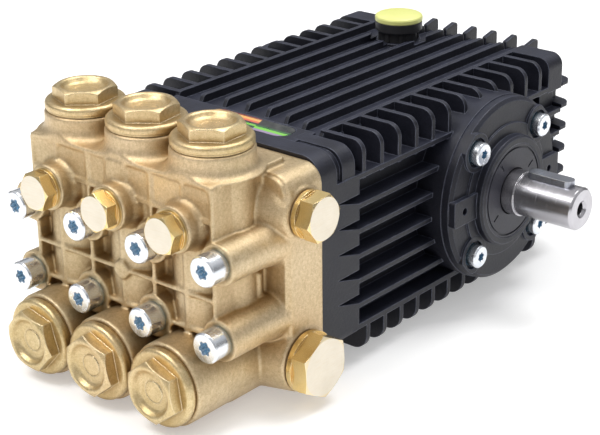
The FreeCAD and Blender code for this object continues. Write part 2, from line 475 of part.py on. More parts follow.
def head():
    add = [rrect("y", -24.5, 0, -79, 79, -50.5, 55.4, 10), rrect("y", -26.5, -24, -77.4, 77.4, -49, 53.8, 9)]
    add.append(box(-62.5, 62.5, -54.5, -20, -30, HEAD_TOP - 2))
    # upper panel
    add.append(rrect("y", HEAD_FACE, -27, -63.5, 63.5, 38.6, HEAD_TOP, 2.5))
    add.append(rrect("z", 40, HEAD_TOP, -63.5, 63.5, HEAD_FACE + 0.5, -8, 5))
    add.append(box(-62.5, 62.5, -58.6, -50, 22.5, 40))
    # solid valley between the lattice and the suction chambers
    add.append(rprism("x", -63.0, 63.0, [(-20, -18, 0), (-58.5, -18, 0), (-56.0, -30, 4), (-48, -46, 4), (-20, -46, 0)]))
    front = box(-90, 90, HEAD_FACE, 0, 40, 80)
    for x in XS:
        # turrets: one round valve chamber per cylinder, foot flared onto the deck
        add.append(rev([(0, -20), (TURRET_R, -20), (TURRET_R, TURRET_TOP - 1.4), (TURRET_R - 0.4, TURRET_TOP - 0.5),
                        (TURRET_R - 1.1, TURRET_TOP), (0, TURRET_TOP)], V(x, TURRET_Y, 0), V(0, 0, 1)))
        flare = rev([(0, HEAD_TOP - 1.0), (26.0, HEAD_TOP - 1.0), (26.0, HEAD_TOP + 0.05), (24.2, HEAD_TOP + 0.5), (22.8, HEAD_TOP + 1.5),
                     (21.8, HEAD_TOP + 3.2), (TURRET_R, HEAD_TOP + 5.6), (0, HEAD_TOP + 5.6)], V(x, TURRET_Y, 0), V(0, 0, 1))
        add.append(flare.common(front))
        # suction chambers
        add.append(rev([(0, 0), (LOWER_R, 0), (LOWER_R, -LOWER_FRONT - 21.2), (LOWER_R - 0.4, -LOWER_FRONT - 20.4),
                        (LOWER_R - 1.0, -LOWER_FRONT - 20), (0, -LOWER_FRONT - 20)], V(x, -20, LOWER_Z), V(0, -1, 0)))
        add.append(cyl("y", -47, -20, x, LOWER_Z - 0.3, LOWER_R + 0.25))
        # gallery plug bosses, blended onto the panel
        add.append(cyl("y", -70.6, -50, x, GAL_Z, 12.2))
        add.append(cone("y", -64.4, -58, x, GAL_Z, 12.2, 15.0).common(box(-90, 90, -65, -50, 22.5, 56)))
    # lattice of ribs on the front face
    for x in (-44, -22, 0, 22, 44):
        add.append(box(x - 1.2, x + 1.2, HEAD_FACE, -50, -20, 40))
    add.append(box(-63.0, 63.0, HEAD_FACE, -50, -2.2, 0.2))
    add.append(box(-63.0, 63.0, HEAD_FACE, -50, -21.6, -19.2))
    for s in (1, -1):
        add.append(box(min(s * 61.2, s * 63.5), max(s * 61.2, s * 63.5), HEAD_FACE, -20, -22, 40))
    add.append(cyl("y", HEAD_FACE - 1.2, -50, 0, -1, 5.0))
    # a low square pad on the panel and a short upright rib on each side
    add.append(rrect("y", HEAD_FACE - 0.7, HEAD_FACE + 4, -7, 3.5, 47.5, 56.8, 0.8))
    for s in (1, -1):
        add.append(box(min(s * 60, s * 65.2), max(s * 60, s * 65.2), -32.4, -29.6, -8, 4.5))
    # bolt bosses: the outer ones run back along the sides
    for x in BOLT_X:
        for z in (BOLT_Z, -BOLT_Z):
            if abs(x) > 50:
                add.append(cyl("y", SEAT - 0.5, -38, x, z, 10.9))
                add.append(cone("y", -38, -22, x, z, 10.9, 13.0))
            else:
                add.append(cyl("y", SEAT - 0.5, -20, x, z, 11.6 if z < 0 else 10.8))
    # side galleries and their bosses, swelling out of the block
    add.append(cyl("x", -80, 80, GAL_Y, GAL_Z, 13.2))
    add.append(cyl("x", -80, 80, SUC_Y, LOWER_Z, 16.8))
    for s in (1, -1):
        if s > 0:
            add.append(cone("x", 52, 79.2, GAL_Y - 1.0, GAL_Z, 23.0, 13.8))
            add.append(cone("x", 52, 79.2, SUC_Y, LOWER_Z + 0.5, 21.8, 17.4))
        else:
            add.append(cone("x", -79.2, -52, GAL_Y - 1.0, GAL_Z, 13.8, 23.0))
            add.append(cone("x", -79.2, -52, SUC_Y, LOWER_Z + 0.5, 17.4, 21.8))
    add.append(box(-66, 66, -30, -1, -58, -40))
    body = fuse(add)
    sub = [box(-100, 100, -0.02, 20, -100, 100)]
    # shallow panels between the upper ribs
    pan = []
    for x0, x1, ra, rb in ((-61.5, -45, 4.5, 2), (-43, -23, 2, 2), (-21, -9, 2, 2), (5.5, 21, 2, 2), (23, 43, 2, 2), (45, 61.5, 2, 4.5)):
        pan.append(rprism("y", HEAD_FACE - 1, HEAD_FACE + 1.1, [(x0, 41, 2), (x1, 41, 2), (x1, 56.3, rb), (x0, 56.3, ra)]))
    keep = [cyl("y", HEAD_FACE - 2, -50, x, GAL_Z, 13.2) for x in XS]
    sub += [s.cut(keep) for s in pan]
    for x in XS:
        sub.append(cyl("y", -30, 1, x, 0, 17.0))
        sub.append(cyl("y", -54, -29, x, 0, 12.6))
        sub.append(cyl("z", 0, 15, x, TURRET_Y, 7.0))
        sub.append(cyl("z", 14, 22, x, TURRET_Y, 11.0))
        sub.append(cyl("z", 21, 60, x, TURRET_Y, 13.0))
        sub.append(cyl("z", 55.5, TURRET_TOP + 1, x, TURRET_Y, 15.5))
        sub.append(cyl("z", LOWER_Z, 0, x, -47, 6.0))
        sub.append(cyl("y", LOWER_FRONT - 1, -64, x, LOWER_Z, 15.5))
        sub.append(cyl("y", -65, -38, x, LOWER_Z, 13.0))
        sub.append(cyl("y", -39, -31, x, LOWER_Z, 11.0))
        sub.append(cyl("y", -32, SUC_Y, x, LOWER_Z, 7.0))
        sub.append(cyl("y", -72, GAL_Y, x, GAL_Z, 6.0))
        sub.append(cyl("y", -72, -60, x, GAL_Z, 6.6))
    sub.append(cyl("x", -81, 81, GAL_Y, GAL_Z, 6.5))
    sub.append(cyl("x", -81, 81, SUC_Y, LOWER_Z, 8.5))
    for s in (1, -1):
        a, b = (66, 81) if s > 0 else (-81, -66)
        sub.append(cyl("x", a, b, GAL_Y, GAL_Z, 7.5))
        sub.append(cyl("x", a, b, SUC_Y, LOWER_Z, 9.3))
    for x in BOLT_X:
        for z in (BOLT_Z, -BOLT_Z):
            sub.append(cyl("y", -65, 1, x, z, 5.3))
            sub.append(cyl("y", -72, SEAT, x, z, 9.2))
    return cut(body, sub)


put("manifold_head", head())

hb = []
for x in BOLT_X:
    for z in (BOLT_Z, -BOLT_Z):
        h = fuse([cyl("y", -72.9, SEAT - 0.05, x, z, 8.0), cone("y", -73.7, -72.9, x, z, 7.2, 8.0), cyl("y", SEAT - 0.1, 20.0, x, z, 5.0)])
        hb.append(h.cut(lobes("y", -74.5, -69.5, x, z, 3.8, 10)))
put("head_bolts", *hb)


# ---------------------------------------------------------------- caps ------
def valve_cap(h):
    """Cap standing on z = 0: threaded shank below, flange, hexagon hollowed by a deep round dish."""
    fl = rev([(0, 0), (20.1, 0), (20.1, 1.1), (20.5, 1.1), (20.8, 1.5), (20.8, 3.1)] + arcpts(18.6, 3.1, 2.2, 0, 90, 5)[1:] + [(0, 5.3)],
             V(0, 0, 0), V(0, 0, 1))
    hx = hexa("z", 5.0, h, 0, 0, 29.0, 0)
    lim = rev([(0, 4.5), (18.5, 4.5), (18.5, h - 2.4), (16.6, h - 1.5), (15.4, h - 0.75), (14.6, h - 0.3), (13.8, h), (0, h)],
              V(0, 0, 0), V(0, 0, 1))
    hx = hx.common(lim)
    dish = rev([(0, h - 3.3), (5.5, h - 3.3), (5.6, h - 3.8), (6.2, h - 3.8), (6.3, h - 3.6), (8.0, h - 3.5), (9.5, h - 3.1), (10.7, h - 2.3),
                (11.5, h - 1.3), (12.0, h - 0.6), (12.6, h - 0.15), (13.3, h + 0.1), (13.3, h + 1), (0, h + 1)], V(0, 0, 0), V(0, 0, 1))
    sh = rev([(0, -13.5), (14.2, -13.5), (15.4, -12.3), (15.4, -7.2), (13.6, -7.2), (13.6, -4.0), (15.4, -4.0), (15.4, 0.1), (0, 0.1)],
             V(0, 0, 0), V(0, 0, 1))
    c = fuse([fl, hx, sh]).cut(dish)
    bore = cyl("z", -14, -4, 0, 0, 9.0)
    return c.cut(bore)


dc, sc, orings = [], [], []
for k, x in enumerate(XS):
    c = valve_cap(12.1)
    c.rotate(V(0, 0, 0), V(0, 0, 1), (40, 37.5, 33)[k])
    c.translate(V(x, TURRET_Y, TURRET_TOP + 0.05))
    dc.append(c)
    o = Part.makeTorus(14.55, 0.85, V(x, TURRET_Y, TURRET_TOP - 5.6), V(0, 0, 1))
    orings.append(o)
    c = valve_cap(12.1)
    c.rotate(V(0, 0, 0), V(0, 0, 1), (48, 40, 39)[k])
    c.rotate(V(0, 0, 0), V(1, 0, 0), 90)
    c.translate(V(x, LOWER_FRONT - 0.05, LOWER_Z))
    sc.append(c)
    o = Part.makeTorus(14.55, 0.85, V(x, LOWER_FRONT + 5.6, LOWER_Z), V(0, 1, 0))
    orings.append(o)
put("delivery_valve_caps", *dc)
put("suction_valve_caps", *sc)
put("valve_cap_o_rings", *orings)

gp = []
for k, x in enumerate(XS):
    hx = hexa("y", -79.4, -72.2, x, GAL_Z, 18.2, (3, 30, 12)[k]).common(
        fuse([cyl("y", -78.4, -72, x, GAL_Z, 11.0), cone("y", -79.4, -78.4, x, GAL_Z, 8.9, 11.0)]))
    gp.append(fuse([hx, cyl("y", -72.3, -71.0, x, GAL_Z, 10.4), cyl("y", -71.1, -61.0, x, GAL_Z, 6.5)]))
put("gallery_plugs", *gp)
washers = [ring("y", -70.98, -70.62, x, GAL_Z, 11.2, 6.8) for x in XS]


def side_plug(y, z, af, rw, rt, deg, h0, h1):
    lim = fuse([cyl("x", 80, h1 - 1.2, y, z, af * 0.62), cone("x", h1 - 1.2, h1, y, z, af * 0.62, af * 0.5)])
    hx = hexa("x", h0, h1, y, z, af, deg).common(lim)
    return fuse([hx, cyl("x", 80.9, h0 + 0.1, y, z, rw), cyl("x", 70.0, 81.0, y, z, rt)])


put("outlet_plug", side_plug(GAL_Y, GAL_Z, 22.0, 12.4, 7.4, 8, 83.2, 92.0))
put("inlet_plug", side_plug(SUC_Y, LOWER_Z, 30.0, 16.4, 9.2, 90 + 2, 83.6, 93.0))
washers += [ring("x", 80.05, 80.85, GAL_Y, GAL_Z, 11.8, 7.8), ring("x", 80.05, 80.85, SUC_Y, LOWER_Z, 15.6, 9.8)]
put("plug_washers", *washers)

# --------------------------------------------------- packings in the head ---
put("low_pressure_packings", *[ring("y", -8.5, -3.0, x, 0, 16.9, 11.06) for x in XS])
put("packing_spacer_rings", *[ring("y", -18.0, -8.6, x, 0, 16.9, 11.4) for x in XS])
put("high_pressure_packings", *[ring("y", -28.6, -18.1, x, 0, 16.9, 11.06) for x in XS])


# ------------------------------------------------------------------ valves --
def spring(r, wire, length, turns):
    """Compression spring along +Z from z = 0, made of closed coils joined by a helix."""
    hx = Part.makeHelix((length - wire) / turns, length - wire, r)
    prof = Part.Wire(Part.makeCircle(wire / 2, V(r, 0, 0), V(0, 1, 0)))
    s = Part.Wire(hx).makePipeShell([prof], True, True)
    s.translate(V(0, 0, wire / 2))
    return s


dsp, ssp = [], []
for i, x in enumerate(XS, 1):
    pop = rev([(0, 0), (6.6, 0), (7.6, 1.0), (7.6, 2.4), (3.0, 2.9), (3.0, 11.0), (2.4, 11.6), (0, 11.6)], V(0, 0, 0), V(0, 0, 1))
    a = pop.copy()
    a.translate(V(x, TURRET_Y, 20.1))
    put("delivery_poppet_%d" % i, a)
    a = pop.copy()
    a.rotate(V(0, 0, 0), V(1, 0, 0), 90)
    a.translate(V(x, -38.1, LOWER_Z))
    put("suction_poppet_%d" % i, a)
    s = spring(5.2, 1.4, 41.4, 6)
    a = s.copy()
    a.translate(V(x, TURRET_Y, 24.0))
    dsp.append(a)
    s = spring(5.2, 1.4, 31.8, 5)
    a = s.copy()
    a.rotate(V(0, 0, 0), V(1, 0, 0), 90)
    a.translate(V(x, -42.0, LOWER_Z))
    ssp.append(a)
put("delivery_valve_seats", *[ring("z", 15.05, 20.0, x, TURRET_Y, 10.9, 6.0) for x in XS])
put("suction_valve_seats", *[ring("y", -38.0, -32.05, x, LOWER_Z, 10.9, 6.0) for x in XS])
put("delivery_valve_springs", *dsp)
put("suction_valve_springs", *ssp)

# --------------------------------------------------------------- filler cap --
fc = fuse([cyl("z", 44.0, 54.6, FILL_X, FILL_Y, 8.9), cyl("z", 54.55, 60.4, FILL_X, FILL_Y, 11.0)] +
          [cyl("z", 54.55, 60.4, FILL_X + 10.6 * math.cos(math.radians(45 * k)), FILL_Y + 10.6 * math.sin(math.radians(45 * k)), 1.8) for k in range(8)] +
          [rev([(0, 60.2), (13.2, 60.2), (14.2, 61.2), (14.2, 66.2), (0, 66.2)], V(FILL_X, FILL_Y, 0), V(0, 0, 1))])
put("oil_filler_cap", fc)
put("oil_filler_cap_button", rev([(0, 66.25), (14.1, 66.25), (14.4, 66.7), (14.4, 68.6), (14.0, 69.4), (12.9, 70.0), (11.0, 70.4), (7.5, 70.7), (0, 70.8)],
                                 V(FILL_X, FILL_Y, 0), V(0, 0, 1)))

# ------------------------------------------------------------------ export ---
bad = 0
for name in sorted(NODES):
    s = NODES[name].copy()
    s.translate(ROW_SHIFT)
    ok = s.isValid() and all(q.isClosed() for q in s.Shells)
    vol = s.Volume
    if not ok or vol <= 0:
        bad += 1
        print("BAD", name, s.isValid(), vol)
    s.exportStep("parts/%s.step" % name)
    bb = s.BoundBox
    print("%-28s %3d solids %10.1f mm3  [%.1f %.1f %.1f] [%.1f %.1f %.1f]" %
          (name, len(s.Solids), vol, bb.XMin, bb.YMin, bb.ZMin, bb.XMax, bb.YMax, bb.ZMax))
print(len(NODES), "nodes,", bad, "bad")
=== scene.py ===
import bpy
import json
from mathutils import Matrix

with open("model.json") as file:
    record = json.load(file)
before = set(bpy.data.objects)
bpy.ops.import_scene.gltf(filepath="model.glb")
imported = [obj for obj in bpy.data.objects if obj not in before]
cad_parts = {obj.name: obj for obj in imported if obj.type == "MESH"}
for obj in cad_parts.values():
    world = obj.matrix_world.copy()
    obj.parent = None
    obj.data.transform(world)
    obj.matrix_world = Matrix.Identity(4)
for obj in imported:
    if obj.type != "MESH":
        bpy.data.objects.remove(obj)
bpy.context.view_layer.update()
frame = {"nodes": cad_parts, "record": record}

import json
import math
import bpy
import bmesh
from mathutils import Matrix, Vector

NODES = frame["nodes"]
OFF = Vector((0.0, -0.100, 0.068))      # working frame of the part -> row frame, in metres


def mm(x, y, z):
    return Vector((x / 1000.0, y / 1000.0, z / 1000.0)) + OFF


# --------------------------------------------------------------- camera ----
az, el, roll = math.radians(40.345), math.radians(22.748), math.radians(-0.691)
back = Vector((math.sin(az) * math.cos(el), -math.cos(az) * math.cos(el), math.sin(el)))
right = Vector((math.cos(az), math.sin(az), 0.0))
up = back.cross(right)
r2 = math.cos(roll) * right + math.sin(roll) * up
u2 = -math.sin(roll) * right + math.cos(roll) * up
pos = mm(552.9, -575.3, 339.9)
cam_data = bpy.data.cameras.new("camera")
cam_data.sensor_width = 36.0
cam_data.lens = 1640.49 * 36.0 / 600.0
cam_data.clip_start = 0.05
cam_data.clip_end = 50.0
cam = bpy.data.objects.new("camera", cam_data)
bpy.context.scene.collection.objects.link(cam)
cam.matrix_world = Matrix(((r2.x, u2.x, back.x, pos.x), (r2.y, u2.y, back.y, pos.y),
                           (r2.z, u2.z, back.z, pos.z), (0, 0, 0, 1)))
bpy.context.scene.camera = cam
bpy.context.scene.view_settings.view_transform = "Standard"
bpy.context.scene.view_settings.look = "None"


# ------------------------------------------------------------ materials ----
def new_mat(name):
    m = bpy.data.materials.new(name)
    m.use_nodes = True
    nt = m.node_tree
    nt.nodes.clear()
    out = nt.nodes.new("ShaderNodeOutputMaterial")
    b = nt.nodes.new("ShaderNodeBsdfPrincipled")
    nt.links.new(b.outputs[0], out.inputs[0])
    return m, nt, b


class G:
    """Small helper that builds node graphs."""

    def __init__(self, nt):
        self.nt = nt
        self.co = nt.nodes.new("ShaderNodeTexCoord").outputs["Object"]

    def put(self, sock, val):
        if isinstance(val, bpy.types.NodeSocket):
            self.nt.links.new(val, sock)
        else:
            sock.default_value = val

    def noise(self, scale, detail=3.0, rough=0.55, vec=None, dist=0.0):
        n = self.nt.nodes.new("ShaderNodeTexNoise")
        self.put(n.inputs["Vector"], vec or self.co)
        n.inputs["Scale"].default_value = scale
        n.inputs["Detail"].default_value = detail
        n.inputs["Roughness"].default_value = rough
        n.inputs["Distortion"].default_value = dist
        return n.outputs["Fac"]

    def voronoi(self, scale, vec=None, feature="F1", rnd=1.0):
        n = self.nt.nodes.new("ShaderNodeTexVoronoi")
        n.feature = feature
        self.put(n.inputs["Vector"], vec or self.co)
        n.inputs["Scale"].default_value = scale
        n.inputs["Randomness"].default_value = rnd
        return n.outputs["Distance"]

    def math(self, op, a, b=0.0, c=None, clamp=False):
        n = self.nt.nodes.new("ShaderNodeMath")
        n.operation = op
        n.use_clamp = clamp
        self.put(n.inputs[0], a)
        self.put(n.inputs[1], b)
        if c is not None:
            self.put(n.inputs[2], c)
        return n.outputs[0]

    def ramp(self, fac, stops):
        n = self.nt.nodes.new("ShaderNodeValToRGB")
        self.put(n.inputs[0], fac)
        els = n.color_ramp.elements
        while len(els) < len(stops):
            els.new(0.5)
        for e, (p, c) in zip(els, stops):
            e.position = p
            e.color = c if len(c) == 4 else (*c, 1.0)
        return n.outputs[0]

    def maprange(self, v, a, b, c, d, smooth=False):
        n = self.nt.nodes.new("ShaderNodeMapRange")
        if smooth:
            n.interpolation_type = "SMOOTHSTEP"
        self.put(n.inputs[0], v)
        for i, x in enumerate((a, b, c, d), 1):
            n.inputs[i].default_value = x
        return n.outputs[0]

    def mix(self, fac, a, b, mode="MIX"):
        n = self.nt.nodes.new("ShaderNodeMix")
        n.data_type = "RGBA"
        n.blend_type = mode
        self.put(n.inputs[0], fac)
        for sock, v in ((n.inputs[6], a), (n.inputs[7], b)):
            if isinstance(v, bpy.types.NodeSocket):
                self.nt.links.new(v, sock)
            else:
                sock.default_value = (*v, 1.0) if len(v) == 3 else v
        return n.outputs[2]

    def bump(self, height, strength, distance, normal=None):
        n = self.nt.nodes.new("ShaderNodeBump")
        n.inputs["Strength"].default_value = strength
        n.inputs["Distance"].default_value = distance
        self.put(n.inputs["Height"], height)
        if normal is not None:
            self.nt.links.new(normal, n.inputs["Normal"])
        return n.outputs[0]

    def ao(self, dist, samples=8, inside=False):
        n = self.nt.nodes.new("ShaderNodeAmbientOcclusion")
        n.samples = samples
        n.inside = inside
        n.inputs["Distance"].default_value = dist
        return n.outputs["AO"]

    def bevel(self, radius, samples=4):
        n = self.nt.nodes.new("ShaderNodeBevel")
        n.samples = samples
        n.inputs["Radius"].default_value = radius
        return n.outputs[0]

    def edge(self, radius, samples=6, lo=0.02, hi=0.25):
        """1 along edges that a bevel of this radius would turn, else 0."""
        bv = self.bevel(radius, samples)
        geo = self.nt.nodes.new("ShaderNodeNewGeometry")
        d = self.nt.nodes.new("ShaderNodeVectorMath")
        d.operation = "DOT_PRODUCT"
        self.nt.links.new(bv, d.inputs[0])
        self.nt.links.new(geo.outputs["Normal"], d.inputs[1])
        inv = self.math("SUBTRACT", 1.0, d.outputs["Value"])
        return self.maprange(inv, lo, hi, 0.0, 1.0), bv

    def sep(self, vec=None):
        n = self.nt.nodes.new("ShaderNodeSeparateXYZ")
        self.put(n.inputs[0], vec or self.co)
        return n.outputs

    def comb(self, x, y, z):
        n = self.nt.nodes.new("ShaderNodeCombineXYZ")
        for s, v in zip(n.inputs, (x, y, z)):
            self.put(s, v)
        return n.outputs[0]


def mat_cast_brass(name, light, mid, deep, rough=0.43, grain=1.0, painted_shade_amt=0.70):
    """Sand cast and blasted brass: fine grit, faint mottling, painted shade darker and redder in the hollows, painted
    highlight on the edges where the brass is also worn bright.
    """
    m, nt, b = new_mat(name)
    g = G(nt)
    edge, bv = g.edge(0.0009, 6, 0.012, 0.16)
    blot = g.noise(34.0, 5.0, 0.62)
    patch = g.noise(11.0, 2.0, 0.5, dist=0.6)
    fine = g.noise(520.0, 3.0, 0.65)
    grit = g.noise(2300.0, 2.0, 0.7)
    sand = g.voronoi(1500.0)
    col = g.mix(g.maprange(blot, 0.30, 0.70, 0.0, 1.0), mid, light)
    col = g.mix(g.maprange(patch, 0.42, 0.66, 0.0, 0.30), col, (0.86, 0.60, 0.36))
    col = g.mix(g.maprange(fine, 0.38, 0.74, 0.0, 0.42), col, deep)
    col = g.mix(g.maprange(sand, 0.05, 0.42, 0.50, 0.0), col, deep)
    col = g.mix(g.maprange(grit, 0.56, 0.78, 0.0, 0.60), col, (0.95, 0.84, 0.60))
    col = g.mix(g.maprange(grit, 0.44, 0.24, 0.0, 0.55), col, deep)
    # painted shade: ambient occlusion darkens the hollows toward the deep tone
    painted_shade_ao = g.ao(0.014, 10)
    col = g.mix(g.maprange(painted_shade_ao, 0.25, 0.92, painted_shade_amt, 0.0), col, deep)
    # painted shade: short-range ambient occlusion darkens tight crevices to red-brown
    painted_crevice_shade = g.ao(0.004, 8)
    col = g.mix(g.maprange(painted_crevice_shade, 0.20, 0.75, 0.55, 0.0), col, (0.26, 0.125, 0.035))
    spots = g.voronoi(230.0)
    dots = g.maprange(spots, 0.035, 0.10, 0.55, 0.0)
    col = g.mix(dots, col, (0.30, 0.16, 0.06))
    # painted highlight along the edges, mottled by noise; the brass there is also worn smoother, so its roughness drops
    edge_polish_and_highlight = g.math("MULTIPLY", edge, g.maprange(g.noise(160.0, 3.0, 0.6), 0.30, 0.62, 0.30, 0.85))
    col = g.mix(edge_polish_and_highlight, col, (0.98, 0.86, 0.60))
    nt.links.new(col, b.inputs["Base Color"])
    b.inputs["Metallic"].default_value = 0.88
    r = g.maprange(grit, 0.3, 0.7, rough - 0.08, rough + 0.10)
    r = g.math("SUBTRACT", r, g.math("MULTIPLY", edge_polish_and_highlight, 0.12))
    r = g.math("ADD", r, g.maprange(blot, 0.3, 0.7, 0.05, -0.04))
    nt.links.new(r, b.inputs["Roughness"])
    n1 = g.bump(fine, 0.30 * grain, 0.0006, bv)
    n2 = g.bump(grit, 0.55 * grain, 0.00026, n1)
    n3 = g.bump(sand, 0.22 * grain, 0.00020, n2)
    nt.links.new(n3, b.inputs["Normal"])
    return m


def mat_plug(name):
    """Milled brass plugs: brushed end faces painted near-white as a highlight, golden flanks."""
    m, nt, b = new_mat(name)
    g = G(nt)
    edge, bv = g.edge(0.0004, 6, 0.02, 0.22)
    geo = nt.nodes.new("ShaderNodeNewGeometry")
    vt = nt.nodes.new("ShaderNodeVectorTransform")
    vt.vector_type = "NORMAL"
    vt.convert_from = "WORLD"
    vt.convert_to = "OBJECT"
    nt.links.new(geo.outputs["Normal"], vt.inputs[0])
    nx, ny, nz = g.sep(vt.outputs[0])
    x, y, z = g.sep()
    onend = g.math("MULTIPLY", g.maprange(g.math("ABSOLUTE", ny), 0.90, 0.985, 0.0, 1.0), g.maprange(y, -0.1785, -0.1788, 0.0, 1.0))
    onside = g.math("MULTIPLY", g.maprange(g.math("ABSOLUTE", nx), 0.90, 0.985, 0.0, 1.0), g.maprange(x, 0.0905, 0.0910, 0.0, 1.0))
    face = g.math("MAXIMUM", onend, onside)
    brush = g.noise(1.0, 3.0, 0.6, vec=g.comb(g.math("MULTIPLY", x, 160.0), g.math("MULTIPLY", y, 160.0), g.math("MULTIPLY", z, 2600.0)))
    blot = g.noise(90.0, 4.0, 0.6)
    fine = g.noise(1500.0, 2.0, 0.5)
    flank = g.mix(g.maprange(blot, 0.3, 0.7, 0.0, 1.0), (0.84, 0.62, 0.25), (0.92, 0.72, 0.36))
    # painted shade: ambient occlusion darkens the flanks in the recesses
    flank = g.mix(g.maprange(g.ao(0.007, 8), 0.25, 0.95, 0.85, 0.0), flank, (0.40, 0.21, 0.035))
    # painted highlight: the end faces get a near-white tone for the light they catch, over the brush marks of the
    # milled finish
    end_face_highlight = g.mix(g.maprange(blot, 0.3, 0.7, 0.0, 1.0), (0.74, 0.675, 0.56), (0.80, 0.735, 0.62))
    end_face_highlight = g.mix(g.maprange(brush, 0.45, 0.75, 0.0, 0.30), end_face_highlight, (0.70, 0.58, 0.38))
    col = g.mix(face, flank, end_face_highlight)
    # painted highlight along the edges
    col = g.mix(g.math("MULTIPLY", edge, 0.6), col, (0.99, 0.92, 0.72))
    nt.links.new(col, b.inputs["Base Color"])
    b.inputs["Metallic"].default_value = 0.90
    r = g.math("ADD", g.maprange(brush, 0.3, 0.7, 0.17, 0.27), g.math("MULTIPLY", face, 0.20))
    nt.links.new(r, b.inputs["Roughness"])
    n1 = g.bump(brush, 0.10, 0.0002, bv)
    nt.links.new(g.bump(fine, 0.06, 0.0001, n1), b.inputs["Normal"])
    return m


def mat_machined(name, base, base2, rough=0.24, axis="y", centre=None, scale=2200.0, dark=(0.35, 0.22, 0.06)):
    """Turned or milled metal; tool marks run round the axis through each centre, or straight."""
    m, nt, b = new_mat(name)
    g = G(nt)
    edge, bv = g.edge(0.0004, 6, 0.02, 0.22)
    blot = g.noise(70.0, 3.0, 0.55)
    fine = g.noise(1400.0, 2.0, 0.5)
    x, y, z = g.sep()
    # stretched noise gives fine straight tool marks
    vec = g.comb(g.math("MULTIPLY", x, 900.0), g.math("MULTIPLY", y, 900.0), g.math("MULTIPLY", z, 900.0))
    ax = {"x": (60.0, 1.0, 1.0), "y": (1.0, 60.0, 1.0), "z": (1.0, 1.0, 60.0)}[axis]
    vec = g.comb(g.math("MULTIPLY", x, 60.0 * ax[0]), g.math("MULTIPLY", y, 60.0 * ax[1]), g.math("MULTIPLY", z, 60.0 * ax[2]))
    tool = g.noise(1.0, 2.0, 0.5, vec=vec)
    col = g.mix(g.maprange(blot, 0.35, 0.65, 0.0, 1.0), base, base2)
    # painted shade: ambient occlusion darkens the recesses toward the dark tone
    painted_shade_ao = g.ao(0.006, 8)
    col = g.mix(g.maprange(painted_shade_ao, 0.3, 0.9, 0.75, 0.0), col, dark)
    col = g.mix(g.maprange(tool, 0.35, 0.65, 0.0, 0.15), col, dark)
    # painted highlight along the edges
    col = g.mix(g.math("MULTIPLY", edge, 0.5), col, (0.97, 0.93, 0.82))
    nt.links.new(col, b.inputs["Base Color"])
    b.inputs["Metallic"].default_value = 1.0
    r = g.maprange(tool, 0.3, 0.7, rough - 0.05, rough + 0.08)
    r = g.math("ADD", r, g.maprange(fine, 0.3, 0.7, -0.02, 0.03))
    nt.links.new(r, b.inputs["Roughness"])
    n1 = g.bump(tool, 0.10, 0.0002, bv)
    n2 = g.bump(fine, 0.06, 0.0001, n1)
    nt.links.new(n2, b.inputs["Normal"])
    return m


def mat_zinc(name):
    """Bright zinc plating, painted shade tinted blue in the recesses."""
    m, nt, b = new_mat(name)
    g = G(nt)
    edge, bv = g.edge(0.0005, 6, 0.02, 0.22)
    blot = g.noise(220.0, 4.0, 0.6)
    grit = g.noise(1900.0, 2.0, 0.6)
    col = g.mix(g.maprange(blot, 0.3, 0.7, 0.0, 1.0), (0.72, 0.76, 0.82), (0.88, 0.90, 0.93))
    # painted shade: ambient occlusion darkens the recesses to a blue tone
    painted_shade_ao = g.ao(0.0045, 12)
    col = g.mix(g.maprange(painted_shade_ao, 0.22, 0.80, 0.92, 0.0), col, (0.17, 0.42, 0.60))
    col = g.mix(g.maprange(g.voronoi(900.0), 0.05, 0.20, 0.35, 0.0), col, (0.55, 0.62, 0.68))
    # painted highlight along the edges, near white
    col = g.mix(g.math("MULTIPLY", edge, 0.8), col, (0.98, 0.99, 1.0))
    nt.links.new(col, b.inputs["Base Color"])
    b.inputs["Metallic"].default_value = 0.88
    r = g.maprange(blot, 0.3, 0.7, 0.16, 0.30)
    nt.links.new(r, b.inputs["Roughness"])
    nt.links.new(g.bump(grit, 0.12, 0.00018, bv), b.inputs["Normal"])
    return m


